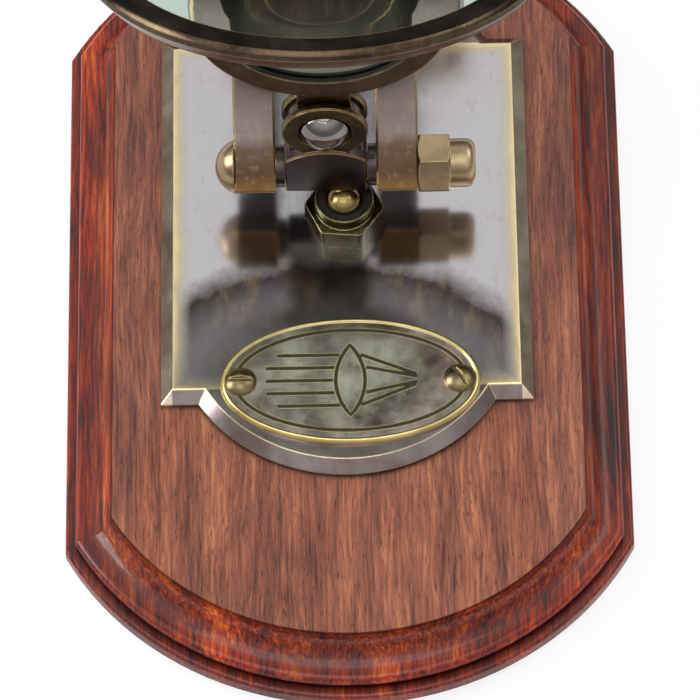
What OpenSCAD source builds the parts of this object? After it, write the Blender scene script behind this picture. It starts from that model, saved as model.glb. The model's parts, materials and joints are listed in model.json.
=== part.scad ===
// Desk magnifier: a moulded wooden base with a bevelled brass plate, a ball socket, and a
// two-bar arm that carries a small upright lens on its lower knuckle and a large one on its head.
// Millimetres. Origin: centre of the base's underside. +X right, -Y towards the reader, +Z up.

/* [Wooden base] */
// Width of the base, side to side
base_w = 128; // [118:1:140]
// Length of the straight sides
base_straight = 132.8; // [126:0.2:150]
// Radius of the round ends
end_r = 72.5; // [71:0.5:85]
// Thickness of the wood
wood_t = 14.8; // [13.5:0.1:20]
// Thickness of the felt under it
felt_t = 1.2; // [0.8:0.1:2]
// How far the moulding reaches in from the edge
mould_w = 10.9; // [10:0.1:13]
// Depth of the moulding's hollow below the top
cove_d = 6.9; // [6:0.1:7.5]

/* [Brass base plate] */
// Width of the plate's flat top
plate_w = 78.7; // [74:0.1:86]
// Length of the plate's flat top, without its round ends
plate_l = 92.3; // [88:0.1:98]
// Thickness of the plate
plate_t = 3.4; // [3:0.1:5]
// Width of the plate's bevel
plate_bevel = 2.8; // [1.5:0.1:3.5]
// Radius of the plate's round ends
plate_end_r = 36.6; // [35:0.1:38]
// Width across the round ends where they leave the plate
plate_chord = 64; // [60:0.5:68]

/* [Name plate] */
// Length of the oval plate
oval_l = 59; // [56:0.5:62]
// Width of the oval plate
oval_w = 33; // [28:0.5:34]
// Thickness of the oval plate
oval_t = 1.4; // [1:0.1:2]
// Distance between its two screws
oval_pitch = 49.6; // [47:0.1:50]
// Radius of its screws' heads
oval_screw_r = 3.75; // [3:0.05:4]

/* [Ball socket] */
// Width of the hexagonal socket across its flats
socket_af = 15.9; // [15.2:0.1:18]
// Height of its hexagon
socket_h = 5.8; // [5:0.1:7]
// Radius of the round rim on top
rim_r = 6.75; // [6.3:0.05:7.2]
// Radius of the ball
ball_r = 4.3; // [4:0.05:4.5]
// Height of the ball's centre above the plate
ball_h = 6.9; // [6.7:0.1:7.2]
// How far the rim closes over the ball's centre
rim_over = 1.9; // [1.7:0.1:2.1]
// Play round the ball
ball_play = 0.15; // [0.1:0.01:0.2]

/* [Knuckles] */
// Width of a knuckle block, between its spacers
block_w = 18.6; // [16:0.1:22]
// Depth of a knuckle block
block_d = 8.4; // [7.6:0.1:10]
// Height of the lower bolt above the plate
bolt_h = 15.7; // [15:0.1:18]
// How far the lower bolt stands behind the socket
bolt_back = 4.6; // [3.5:0.1:5]
// How far the knuckle stands to the left of the socket
bolt_left = 3.9; // [3:0.1:4.2]
// Height of the lens pivot above the bolt
pivot_h = 18.7; // [18:0.1:20]
// Radius of the round cheeks
cheek_r = 9.7; // [9:0.1:10]
// Thickness of the tongue between the cheeks
tongue_t = 3.2; // [2.5:0.1:3.8]
// Play on each side of the tongue
tongue_play = 0.1; // [0.05:0.01:0.2]
// Radius of the pivot screws
pivot_r = 2; // [1.5:0.05:2.5]
// Radius of the domed heads of the pivot screws
dome_r = 5.9; // [5.2:0.1:6]

/* [Arms] */
// Side of the square bars
bar = 9.525; // [8.5:0.025:10.5]
// Distance between the two bolts
arm_len = 102.5; // [100:0.5:112]
// Lean of the arms from upright
arm_lean = 57.5; // [50:0.5:62]
// How far a bar runs past its bolt
bar_over = 6.5; // [5.5:0.1:7.5]
// Width of a spacer
spacer_w = 2; // [1.5:0.1:3]
// Outer radius of a spacer
spacer_r = 4.85; // [4.4:0.05:5.2]
// Radius of the bolts
bolt_r = 3.175; // [2.5:0.025:3.4]
// Radial play of the bolts and pivot screws in what turns on them
turn_play = 0.05; // [0.02:0.01:0.08]
// Width of the nuts across their flats
nut_af = 12.7; // [11:0.1:14]
// Length of a nut's hexagon
nut_l = 7.2; // [6:0.1:8]
// Length of a nut's round cap
cap_l = 5.8; // [5:0.1:7]
// Radius of the bolts' round heads
head_r = 6.1; // [5.5:0.1:6.6]
// Height of the bolts' round heads
head_t = 4.3; // [3:0.1:5]

/* [Small lens] */
// Outer radius of the small ring
small_r = 28.5; // [26:0.1:29]
// Radius of the opening in its face
small_open_r = 22.5; // [20:0.1:24]
// Thickness of the small ring
small_t = 5; // [4.6:0.1:6]
// Distance from the lens pivot to the ring's centre
small_reach = 41.3; // [40.5:0.1:42]

/* [Large lens] */
// Outer radius of the large ring
large_r = 54.7; // [50:0.1:57]
// Radius of the opening in its face
large_open_r = 45; // [41:0.1:47]
// Thickness of the large ring
large_t = 5; // [4.6:0.1:6]
// Distance from the upper bolt to the ring's centre
large_reach = 112.2; // [108:0.1:116]
// Rise of the large ring from level, towards the reader
head_rise = 25.8; // [22:0.1:32]
// How far the large ring's middle stands above its tongue
large_lift = 4.3; // [4.2:0.1:5]
// Width of the necks that carry the rings
neck_w = 12; // [10:0.5:14]

/* [Hidden] */
$fn = 96;

// Heights of the base's levels
wood_top = felt_t + wood_t;
plate_top = wood_top + plate_t;
// The socket stands behind the base's centre, and the plate's centre a little behind the socket
post_y = 12;
plate_y = post_y + 1.5;
// How far the centres of the plate's round ends lie inside its corners
end_in = sqrt(plate_end_r * plate_end_r - plate_chord * plate_chord / 4);
oval_x = 0.8;
// The oval plate's centre, measured from the front end of the plate's flat top
oval_y = plate_y - plate_l / 2 + end_in - plate_end_r + 0.6 * oval_w;
// Centre of each round end of the wood, measured from the base's centre
end_y = base_straight / 2 - sqrt(end_r * end_r - base_w * base_w / 4);
// Depths of the moulding's lower steps: bead and plain lower edge
bead_r = 1.6;
bead_z = cove_d + bead_r;
bead_in = 3.9;
foot_z = bead_z + 1.9;
foot_round = 0.9;
fillet_d = 0.9;
// The joint under the wood
recess_r = 9;
recess_d = 7;
washer_r = 8;
washer_t = 1.2;
post_r = 3;
post_nut_af = 10;
post_nut_t = 5;
stud_head_t = 2;
cavity_r = 6;
cup_play = 0.3;
ball_z = plate_top + ball_h;
rim_top = ball_z + rim_over;
// Radius of the ball's hole at the rim's top
mouth_r = sqrt(pow(ball_r + ball_play, 2) - pow(rim_over, 2));
stem_r = 1.5;
collar_r = 2.4;
collar_t = 1.2;
// Where the stem seats on the block's underside, behind and to the left of the ball
stem_back = 2.85;
stem_left = 1.2;
// The rim's inner edge is bevelled, so that the stem clears it when it leans
rim_bevel = 0.8;
// Where the lower bolt and the upper bolt cross the middle of the arms
lower = [-bolt_left, post_y + bolt_back, plate_top + bolt_h];
upper = lower + arm_len * [0, sin(arm_lean), cos(arm_lean)];
// Turn of the nuts on their bolts, and of the slot in the right screw
nut_turn = 30;
right_slot_turn = -60;
// Widths along the bolts, from the middle outwards
side_play = 0.15;
bar_in = block_w / 2 + side_play + spacer_w;
bar_out = bar_in + bar;
// The knuckle block below and above its bolt
block_down = 4.5;
block_side_up = 7.8;
block_crown_up = 11.4;
slot_floor = pivot_h - cheek_r - 0.4;
counterbore_d = 1.5;
dome_h = 4.4;
tongue_r = 8.6;
// Rings: lip in front of the glass, seat round it, ring nut behind it
lip_t = 1.3;
seat_step = 1.5;
glass_play = 0.1;
glass_edge = 2;
nut_ring_w = 1.8;
nut_ring_t = 1.2;

module moulding_profile(reach) {
    // Half of the base's cross-section, from the middle out to reach, drawn from its underside up
    top = wood_t;
    cove_r = cove_d - fillet_d;
    difference() {
        union() {
            square([reach - mould_w, top]);
            square([reach - bead_in, top - bead_z + bead_r]);
            translate([reach - bead_in, top - bead_z]) circle(r = bead_r);
            square([reach - foot_round, top - foot_z]);
            square([reach, top - foot_z - foot_round]);
            translate([reach - foot_round, top - foot_z - foot_round]) circle(r = foot_round);
            translate([reach - mould_w, 0]) square([mould_w - bead_in, top - fillet_d]);
        }
        translate([reach - mould_w + cove_r + 0.4, top - fillet_d]) circle(r = cove_r);
        translate([reach - mould_w + cove_r + 0.4, top - cove_d]) square([mould_w, cove_d + 1]);
        translate([reach, 0]) rotate(45) square(1.4, center = true);
    }
}

module wood_base() {
    color("saddlebrown") translate([0, 0, felt_t]) difference() {
        intersection() {
            // Straight sides
            union() {
                for (side = [0, 1]) mirror([side, 0, 0])
                    rotate([90, 0, 0])
                        linear_extrude(height = base_straight + 2 * end_r, center = true)
                            moulding_profile(base_w / 2);
            }
            // Round ends
            union() {
                for (side = [0, 1]) mirror([0, side, 0])
                    translate([0, -end_y, 0]) rotate_extrude() moulding_profile(end_r);
                translate([-base_w, -end_y, 0]) cube([2 * base_w, 2 * end_y, wood_t]);
            }
        }
        translate([0, post_y, -1]) cylinder(r = recess_r, h = recess_d + 1);
        translate([0, post_y, 0]) cylinder(r = post_r, h = wood_t + 1);
        for (x = [-1, 1])
            translate([oval_x + x * oval_pitch / 2, oval_y, wood_t - screw_bite()])
                cylinder(r = screw_shank_r(), h = screw_bite() + 1);
    }
}

function screw_shank_r() = oval_screw_r * 0.42;
function screw_bite() = 8;

module felt_pad() {
    inset = 3;
    color("darkgreen") intersection() {
        translate([inset - base_w / 2, -base_straight, 0])
            cube([base_w - 2 * inset, 2 * base_straight, felt_t]);
        union() {
            for (side = [0, 1]) mirror([0, side, 0])
                translate([0, -end_y, 0]) cylinder(r = end_r - inset, h = felt_t);
            translate([-base_w, -end_y, 0]) cube([2 * base_w, 2 * end_y, felt_t]);
        }
    }
}

module bevelled_box(w, l, t, bevel) {
    // A block whose top is w by l and whose sides slope out by bevel
    edge = t * 0.3;
    intersection() {
        rotate([90, 0, 0]) linear_extrude(height = l + 2 * bevel, center = true)
            polygon([[-w / 2 - bevel, 0], [w / 2 + bevel, 0], [w / 2 + bevel, edge],
                [w / 2, t], [-w / 2, t], [-w / 2 - bevel, edge]]);
        rotate([90, 0, 90]) linear_extrude(height = w + 2 * bevel, center = true)
            polygon([[-l / 2 - bevel, 0], [l / 2 + bevel, 0], [l / 2 + bevel, edge],
                [l / 2, t], [-l / 2, t], [-l / 2 - bevel, edge]]);
    }
}

module bevelled_disc(r, t, bevel) {
    edge = t * 0.3;
    cylinder(r = r + bevel, h = edge);
    translate([0, 0, edge]) cylinder(r1 = r + bevel, r2 = r, h = t - edge);
}

module base_plate() {
    color("darkkhaki") translate([0, 0, wood_top]) difference() {
        union() {
            translate([0, plate_y, 0]) bevelled_box(plate_w, plate_l, plate_t, plate_bevel);
            for (side = [-1, 1])
                translate([0, plate_y + side * (plate_l / 2 - end_in), 0])
                    bevelled_disc(plate_end_r, plate_t, plate_bevel);
        }
        translate([0, post_y, -1]) cylinder(r = post_r, h = plate_t + 2);
        for (x = [-1, 1]) translate([oval_x + x * oval_pitch / 2, oval_y, -1])
            cylinder(r = screw_shank_r(), h = plate_t + 2);
    }
}

module name_plate() {
    // Bare oval plate with a raised rim
    edge_in = 0.8;
    rim_w = 1.6;
    sunk = 0.35;
    color("peru") translate([oval_x, oval_y, plate_top]) difference() {
        union() {
            linear_extrude(height = oval_t * 0.5) scale([oval_l / 2, oval_w / 2]) circle(r = 1);
            translate([0, 0, oval_t * 0.5])
                linear_extrude(height = oval_t * 0.5)
                    scale([oval_l / 2 - edge_in, oval_w / 2 - edge_in]) circle(r = 1);
        }
        translate([0, 0, oval_t - sunk])
            linear_extrude(height = 1)
                scale([oval_l / 2 - edge_in - rim_w, oval_w / 2 - edge_in - rim_w]) circle(r = 1);
        for (x = [-1, 1]) translate([x * oval_pitch / 2, 0, -1]) {
            cylinder(r = screw_shank_r(), h = oval_t + 2);
            translate([0, 0, 1 + oval_t - sunk]) cylinder(r = oval_screw_r, h = 2);
        }
    }
}

module plate_screw(slot_turn) {
    // Round-head wood screw, seated on the oval plate's sunk face
    rise = 1.7;
    cap_r = (oval_screw_r * oval_screw_r + rise * rise) / (2 * rise);
    seat_z = plate_top + oval_t - 0.35;
    translate([0, oval_y, seat_z]) {
        difference() {
            intersection() {
                translate([0, 0, rise - cap_r]) sphere(r = cap_r);
                cylinder(r = oval_screw_r, h = rise);
            }
            translate([0, 0, rise]) rotate(slot_turn)
                cube([2 * oval_screw_r + 1, 1, 1.6], center = true);
        }
        translate([0, 0, wood_top - seat_z - screw_bite()])
            cylinder(r = screw_shank_r(), h = seat_z - wood_top + screw_bite());
    }
}

module plate_screw_left() {
    color("olive") translate([oval_x - oval_pitch / 2, 0, 0]) plate_screw(0);
}

module plate_screw_right() {
    color("olive") translate([oval_x + oval_pitch / 2, 0, 0]) plate_screw(right_slot_turn);
}

// The ball socket

module post_stud() {
    color("gray") translate([0, post_y, 0]) {
        translate([0, 0, plate_top]) cylinder(r = cavity_r, h = stud_head_t);
        translate([0, 0, felt_t + 0.4]) cylinder(r = post_r, h = plate_top - felt_t - 0.4);
    }
}

module post_washer() {
    color("silver") translate([0, post_y, felt_t + recess_d - washer_t]) difference() {
        cylinder(r = washer_r, h = washer_t);
        translate([0, 0, -1]) cylinder(r = post_r, h = washer_t + 2);
    }
}

module post_nut() {
    color("silver") translate([0, post_y, felt_t + recess_d - washer_t - post_nut_t])
        difference() {
            hexagon(post_nut_af, post_nut_t, true);
            translate([0, 0, -1]) cylinder(r = post_r, h = post_nut_t + 2);
        }
}

module hexagon(af, h, both) {
    // Hexagonal bar with its corners turned off at the top, and at the bottom too where both is true
    r = af / sqrt(3);
    turned = r - af / 2;
    outside = r + 0.4;
    rise = (turned + 0.4) * 0.5;
    intersection() {
        cylinder(r = r, h = h, $fn = 6);
        rotate_extrude() polygon([[0, 0], [both ? r - turned : outside, 0],
            [outside, both ? rise : h / 3], [outside, h - rise], [r - turned, h], [0, h]]);
    }
}

module socket_nut() {
    color("goldenrod") translate([0, post_y, plate_top]) difference() {
        union() {
            rotate(7 + 30) hexagon(socket_af, socket_h, false);
            cylinder(r = rim_r, h = rim_top - plate_top);
        }
        translate([0, 0, ball_h]) rotate_extrude() {
            translate([0, -ball_h - 1]) square([cavity_r, ball_h + 1]);
            half_ball(ball_r + ball_play);
            translate([0, rim_over]) rotate(-90)
                polygon([[-1, 0], [-1, mouth_r + rim_bevel + 1], [0, mouth_r + rim_bevel],
                    [rim_bevel, mouth_r], [rim_bevel, 0]]);
        }
    }
}

module half_ball(r) {
    // Profile of a ball, to be turned about its own centre line
    intersection() {
        circle(r = r);
        translate([0, -r]) square([r, 2 * r]);
    }
}

module seat_cup() {
    // Turns with the ball in the socket
    cup_r = cavity_r - cup_play;
    cup_deep = ball_h - stud_head_t - ball_play;
    color("tan") translate([0, post_y, ball_z]) rotate_extrude() difference() {
        translate([1.8, -cup_deep]) square([cup_r - 1.8, cup_deep - 0.2]);
        half_ball(ball_r + ball_play);
    }
}

module ball_stud() {
    // A ball on a short slanting stem, with a collar that seats on the block's underside
    from = [0, post_y, ball_z];
    seat = [-stem_left, post_y + stem_back, lower[2] - block_down];
    run = seat - [0, 0, collar_t] - from;
    length = norm(run);
    color("gold") {
        translate(from) rotate([0, acos(run[2] / length), atan2(run[1], run[0])])
            rotate_extrude() {
                half_ball(ball_r);
                square([stem_r, length]);
            }
        translate(seat - [0, 0, collar_t]) cylinder(r = collar_r, h = collar_t);
    }
}

// Knuckles: the same casting serves the lower bolt and the upper one.
// Drawn upright, the bolt along X through the origin and the lens pivot above it along Y.

module knuckle() {
    sag = block_crown_up - block_side_up;
    crown_r = (block_w * block_w / 4 + sag * sag) / (2 * sag);
    half_slot = tongue_t / 2 + tongue_play;
    difference() {
        union() {
            intersection() {
                translate([-block_w / 2, -block_d / 2, -block_down])
                    cube([block_w, block_d, block_down + block_crown_up]);
                translate([0, 0, block_crown_up - crown_r]) rotate([90, 0, 0])
                    cylinder(r = crown_r, h = block_d + 2, center = true);
            }
            translate([0, 0, pivot_h]) rotate([90, 0, 0])
                cylinder(r = cheek_r, h = block_d, center = true);
        }
        rotate([0, 90, 0]) cylinder(r = bolt_r + turn_play, h = block_w + 2, center = true);
        translate([-block_w, -half_slot, slot_floor]) cube([2 * block_w, 2 * half_slot, pivot_h + cheek_r]);
        translate([0, 0, pivot_h]) rotate([90, 0, 0]) {
            cylinder(r = pivot_r, h = block_d + 2, center = true);
            translate([0, 0, block_d / 2 - counterbore_d])
                cylinder(r = dome_r + 0.4, h = counterbore_d + 1);
        }
    }
}

module pivot_screw() {
    cap_r = (dome_r * dome_r + dome_h * dome_h) / (2 * dome_h);
    translate([0, 0, pivot_h]) rotate([90, 0, 0]) {
        translate([0, 0, -block_d / 2]) cylinder(r = pivot_r, h = block_d - counterbore_d);
        translate([0, 0, block_d / 2 - counterbore_d]) intersection() {
            translate([0, 0, dome_h - cap_r]) sphere(r = cap_r);
            cylinder(r = dome_r, h = dome_h);
        }
    }
}

module neck(reach, ring_r, back, front) {
    // Tongue in the slot, and a stem that meets the ring's outer wall. The ring lies between
    // y = back and y = front, and its centre is at the height reach above the bolt.
    root = pivot_h + cheek_r + 0.6;
    difference() {
        union() {
            translate([0, 0, pivot_h]) rotate([90, 0, 0])
                cylinder(r = tongue_r, h = tongue_t, center = true);
            translate([-neck_w / 2, -tongue_t / 2, pivot_h])
                cube([neck_w, tongue_t, reach - pivot_h]);
            translate([-neck_w / 2, front, root]) cube([neck_w, back - front, reach - root]);
        }
        translate([0, 0, pivot_h]) rotate([90, 0, 0])
            cylinder(r = pivot_r + turn_play, h = tongue_t + 2, center = true);
        translate([0, 0, reach]) rotate([90, 0, 0])
            cylinder(r = ring_r, h = 40, center = true);
    }
}

// Rings: drawn about Z with the face up at z = 0 and the back at z = -t

module ring(r, open_r, t, shoulder_w, shoulder_d) {
    seat_r = open_r + seat_step;
    rotate_extrude() difference() {
        polygon([[open_r, 0], [r - shoulder_w, 0], [r - shoulder_w * 0.8, -shoulder_d],
            [r - shoulder_w * 0.25, -shoulder_d * 1.4], [r, -shoulder_d * 2.2], [r, -t],
            [open_r, -t]]);
        translate([0, -t - 1]) square([seat_r, t - lip_t + 1]);
    }
}

module lens(open_r, rise) {
    // Flat at the back, rounded at the front, with a flat ledge that the lip holds
    dome_edge = open_r - glass_play;
    top_r = (dome_edge * dome_edge + rise * rise) / (2 * rise);
    translate([0, 0, -lip_t - glass_edge])
        cylinder(r = open_r + seat_step - glass_play, h = glass_edge);
    translate([0, 0, -lip_t]) intersection() {
        translate([0, 0, -0.5]) cylinder(r = dome_edge, h = rise + 0.5);
        translate([0, 0, rise - top_r]) sphere(r = top_r, $fn = 720);
    }
}

module retainer(open_r) {
    seat_r = open_r + seat_step;
    translate([0, 0, -lip_t - glass_edge - nut_ring_t]) difference() {
        cylinder(r = seat_r, h = nut_ring_t);
        translate([0, 0, -1]) cylinder(r = seat_r - nut_ring_w, h = nut_ring_t + 2);
    }
}

// Places

module at_lower() {
    translate(lower) children();
}

module at_upper() {
    // The head's block points along the neck, and its front looks up
    translate(upper) rotate([90 - head_rise, 0, 0]) mirror([0, 1, 0]) children();
}

module at_small_ring() {
    at_lower() translate([0, -small_t / 2, pivot_h + small_reach]) rotate([90, 0, 0]) children();
}

module at_large_ring() {
    at_upper() translate([0, -large_lift - large_t / 2, large_reach]) rotate([90, 0, 0]) children();
}

module knuckle_block() { color("dimgray") at_lower() knuckle(); }
module head_knuckle() { color("dimgray") at_upper() knuckle(); }
module small_pivot_screw() { color("lightgray") at_lower() pivot_screw(); }
module large_pivot_screw() { color("lightgray") at_upper() pivot_screw(); }

module small_neck() {
    color("darkgoldenrod") at_lower()
        neck(pivot_h + small_reach, small_r, tongue_t / 2, -tongue_t / 2);
}

module large_neck() {
    color("darkgoldenrod") at_upper()
        neck(large_reach, large_r, tongue_t / 2, -large_lift - large_t / 2 + 1.6);
}

module small_ring() { color("olive") at_small_ring() ring(small_r, small_open_r, small_t, 1.2, 0.4); }
module small_lens() { color("lightcyan") at_small_ring() lens(small_open_r, 1.8); }
module small_retainer() { color("khaki") at_small_ring() retainer(small_open_r); }

module large_ring() {
    color("olive") at_large_ring() difference() {
        ring(large_r, large_open_r, large_t, 4.1, 0.7);
        ring_screw_place() translate([0, 0, -1]) cylinder(r = 1.1, h = 2);
    }
}
module large_lens() { color("lightcyan") at_large_ring() lens(large_open_r, 4.2); }
module large_retainer() { color("khaki") at_large_ring() retainer(large_open_r); }

module ring_screw_place() {
    // On the face, left of the point nearest the reader
    rotate(90 + 17.5) translate([large_open_r + 3, 0, 0]) children();
}

module ring_screw() {
    color("gold") at_large_ring() ring_screw_place() translate([0, 0, -1]) cylinder(r = 1.1, h = 0.6);
}

// Arms

module arm(side) {
    translate(lower) rotate([-arm_lean, 0, 0])
        translate([side > 0 ? bar_in : -bar_out, 0, 0]) difference() {
            union() {
                tip = bar_over - bar / 2;
                translate([0, -bar / 2, -tip]) cube([bar, bar, arm_len + 2 * tip]);
                for (z = [-tip, arm_len + tip]) translate([0, 0, z]) rotate([0, 90, 0])
                    cylinder(r = bar / 2, h = bar);
            }
            for (z = [0, arm_len]) translate([-1, 0, z]) rotate([0, 90, 0])
                cylinder(r = bolt_r, h = bar + 2);
        }
}

module arm_left() { color("sienna") arm(-1); }
module arm_right() { color("sienna") arm(1); }

module bolt() {
    // Round head on the left, shank through to the nut on the right
    cap_r = (head_r * head_r + head_t * head_t) / (2 * head_t);
    rotate([0, 90, 0]) {
        translate([0, 0, -bar_out]) cylinder(r = bolt_r, h = 2 * bar_out + nut_l);
        translate([0, 0, -bar_out]) mirror([0, 0, 1]) intersection() {
            translate([0, 0, head_t - cap_r]) sphere(r = cap_r);
            cylinder(r = head_r, h = head_t);
        }
    }
}

module cap_nut(turn) {
    cap_r = nut_af * 0.437;
    round_over = 2.2;
    translate([bar_out, 0, 0]) rotate([0, 90, 0]) difference() {
        union() {
            rotate(turn) hexagon(nut_af, nut_l, true);
            translate([0, 0, nut_l - 1]) cylinder(r = cap_r, h = cap_l + 1 - round_over);
            translate([0, 0, nut_l + cap_l - round_over]) rotate_extrude() intersection() {
                union() {
                    translate([cap_r - round_over, 0]) circle(r = round_over);
                    square([cap_r - round_over, round_over]);
                }
                square([cap_r, round_over]);
            }
        }
        translate([0, 0, -1]) cylinder(r = bolt_r, h = nut_l + 1);
    }
}

module spacer(side) {
    translate([side * (bar_in - spacer_w / 2), 0, 0]) rotate([0, 90, 0]) difference() {
        cylinder(r = spacer_r, h = spacer_w, center = true);
        cylinder(r = bolt_r, h = spacer_w + 2, center = true);
    }
}

module lower_bolt() { color("gold") translate(lower) bolt(); }
module upper_bolt() { color("gold") translate(upper) bolt(); }
module lower_nut() { color("goldenrod") translate(lower) cap_nut(nut_turn); }
module upper_nut() { color("goldenrod") translate(upper) cap_nut(nut_turn); }
module lower_spacer_left() { color("khaki") translate(lower) spacer(-1); }
module lower_spacer_right() { color("khaki") translate(lower) spacer(1); }
module upper_spacer_left() { color("khaki") translate(upper) spacer(-1); }
module upper_spacer_right() { color("khaki") translate(upper) spacer(1); }

wood_base();
felt_pad();
base_plate();
name_plate();
plate_screw_left();
plate_screw_right();
post_stud();
post_washer();
post_nut();
socket_nut();
seat_cup();
ball_stud();
knuckle_block();
small_pivot_screw();
small_neck();
small_ring();
small_lens();
small_retainer();
arm_left();
arm_right();
lower_bolt();
lower_nut();
lower_spacer_left();
lower_spacer_right();
upper_bolt();
upper_nut();
upper_spacer_left();
upper_spacer_right();
head_knuckle();
large_pivot_screw();
large_neck();
large_ring();
large_lens();
large_retainer();
ring_screw();
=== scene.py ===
"""Desk magnifier: finishes and fine pieces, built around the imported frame."""

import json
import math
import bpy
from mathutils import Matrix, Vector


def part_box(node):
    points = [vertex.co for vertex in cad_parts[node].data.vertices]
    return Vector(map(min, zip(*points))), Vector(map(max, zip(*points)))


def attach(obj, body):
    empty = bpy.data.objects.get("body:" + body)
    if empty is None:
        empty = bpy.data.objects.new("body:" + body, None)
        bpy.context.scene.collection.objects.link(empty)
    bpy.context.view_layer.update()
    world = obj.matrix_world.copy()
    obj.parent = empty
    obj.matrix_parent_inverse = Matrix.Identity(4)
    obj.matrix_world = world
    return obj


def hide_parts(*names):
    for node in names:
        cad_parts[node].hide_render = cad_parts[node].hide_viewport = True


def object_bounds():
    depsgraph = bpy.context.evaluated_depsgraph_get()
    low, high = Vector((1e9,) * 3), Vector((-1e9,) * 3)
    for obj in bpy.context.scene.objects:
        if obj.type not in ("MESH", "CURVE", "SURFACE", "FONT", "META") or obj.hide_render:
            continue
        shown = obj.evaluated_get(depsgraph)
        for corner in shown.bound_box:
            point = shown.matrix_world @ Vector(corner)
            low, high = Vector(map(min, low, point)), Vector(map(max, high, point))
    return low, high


bl_info = {
    "name": "Desk Magnifier",
    "version": (1, 0, 0),
    "blender": (4, 5, 0),
    "location": "View3D > Sidebar > Magnifier",
    "description": "Dresses a brass desk magnifier on a moulded wooden base",
    "category": "Add Mesh",
}

from functools import partial

import bmesh
import bpy
from mathutils import Matrix, Vector

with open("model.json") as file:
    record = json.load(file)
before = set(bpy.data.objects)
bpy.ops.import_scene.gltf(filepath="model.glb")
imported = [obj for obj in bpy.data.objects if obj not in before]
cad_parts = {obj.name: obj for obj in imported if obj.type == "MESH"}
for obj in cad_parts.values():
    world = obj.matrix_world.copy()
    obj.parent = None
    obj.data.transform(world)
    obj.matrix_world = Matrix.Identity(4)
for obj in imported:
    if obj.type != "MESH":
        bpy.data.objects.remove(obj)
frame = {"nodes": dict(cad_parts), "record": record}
cad_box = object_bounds()

MM = 0.001

# Sizes that the solids have too, in millimetres
WOOD_FOOT = 1.2  # height at which the wood ends above the felt
PLATE_TOP = 19.4
PLATE_BEVEL = 2.8
PLATE_HALF_LENGTH = 46.2  # of the flat top, along Y
SCREW_HOLE_R = 1.6
HEXAGON_HEIGHT = 5.8
CAVITY_R = 6.0  # the socket's bore
MOUTH_R = 4.26  # the hole that the stem leans in
BOLT_R = 3.175
BOLT_BORE_R = 3.225
BAR_HALF = 4.7625  # half of 3/8 inch
PIVOT_R = 2.0
PIVOT_UP = 18.7  # from a bolt up to the pivot screw
SLOT_FLOOR = 8.6  # from a bolt up to the foot of the tongue's slot
SLOT_HALF = 1.7
DOME_BORE_R = 6.25
DOME_BORE_DEPTH = 1.5
RING_THICK = 5
LIP_THICK = 1.3
NUT_BEHIND_FACE = 3.9  # from a ring's face back to the middle of its ring nut


# Small tools

def hex_colour(code):
    """An sRGB hex value as the linear colour that a shader takes."""
    channels = [int(code[i:i + 2], 16) / 255 for i in (1, 3, 5)]
    return tuple(c / 12.92 if c <= 0.04045 else ((c + 0.055) / 1.055) ** 2.4
                 for c in channels) + (1.0,)


def add(tree, kind, values=None, output=0):
    """Add a shader node and give back one of its outputs. A value that is a socket is linked, a
    hex value becomes a colour, and stops are the (position, colour) points of a ramp."""
    node = tree.nodes.new("ShaderNode" + kind)
    for key, value in (values or {}).items():
        if key == "stops":
            elements = node.color_ramp.elements
            while len(elements) < len(value):
                elements.new(0.5)
            for element, (place, colour) in zip(elements, value):
                element.position = place
                element.color = hex_colour(colour) if isinstance(colour, str) else colour
        elif isinstance(value, bpy.types.NodeSocket):
            tree.links.new(value, node.inputs[key])
        elif isinstance(key, int) or key in node.inputs:
            node.inputs[key].default_value = hex_colour(value) if isinstance(value, str) else value
        else:
            setattr(node, key, value)
    return node.outputs[output] if len(node.outputs) else None


def blank_finish(name):
    """A material with nothing in it, and add() for its nodes."""
    material = bpy.data.materials.new(name)
    material.use_nodes = True
    material.node_tree.nodes.clear()
    return material, partial(add, material.node_tree)


def grain(put, pitch_mm, detail=3, rough=0.5, place=None, output=0):
    """A cloudy pattern whose marks are pitch_mm (x, y, z) across, fixed to the object."""
    if place is None:
        place = put("TexCoord", output="Object")
    scaled = put("VectorMath", {
        "operation": "MULTIPLY", 0: place, 1: tuple(1 / (p * MM) for p in pitch_mm)})
    return put("TexNoise", {"Scale": 1.0, "Detail": detail, "Roughness": rough,
                            "Vector": scaled}, output)


def dress(node_name, material):
    """Give a CAD node its finish."""
    obj = frame["nodes"][node_name]
    if not obj.material_slots:
        obj.data.materials.append(material)
    for slot in obj.material_slots:
        slot.material = material


def mesh_piece(name, bm, materials, body, smooth_angle=35):
    """Turn a bmesh into a piece that rides on a body."""
    mesh = bpy.data.meshes.new(name)
    bmesh.ops.recalc_face_normals(bm, faces=bm.faces)
    bm.to_mesh(mesh)
    bm.free()
    piece = bpy.data.objects.new(name, mesh)
    bpy.context.scene.collection.objects.link(piece)
    for material in materials:
        mesh.materials.append(material)
    mesh.shade_smooth()
    mesh.set_sharp_from_angle(angle=math.radians(smooth_angle))
    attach(piece, body)
    return piece


def lathe(profile, steps, place, inner=(), reach=None):
    """A closed solid of revolution from (radius, height) points in millimetres. The profile's
    sides whose numbers are in inner take the second finish. reach(angle) limits the radius."""
    bm = bmesh.new()
    rows = []
    for step in range(steps):
        angle = 2 * math.pi * step / steps
        limit = reach(angle) if reach else math.inf
        out = Vector((math.cos(angle), math.sin(angle), 0))
        rows.append([bm.verts.new(place @ ((out * min(r, limit) + Vector((0, 0, z))) * MM))
                     for r, z in profile])
    count = len(profile)
    for step in range(steps):
        here, there = rows[step], rows[(step + 1) % steps]
        for side in range(count):
            after = (side + 1) % count
            face = bm.faces.new((here[side], there[side], there[after], here[after]))
            face.material_index = 1 if side in inner else 0
    return bm


def circle(radius, up=0.0, steps=72):
    """Points round a circle, in millimetres."""
    return [(radius * math.cos(2 * math.pi * s / steps),
             up + radius * math.sin(2 * math.pi * s / steps)) for s in range(steps)]


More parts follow.
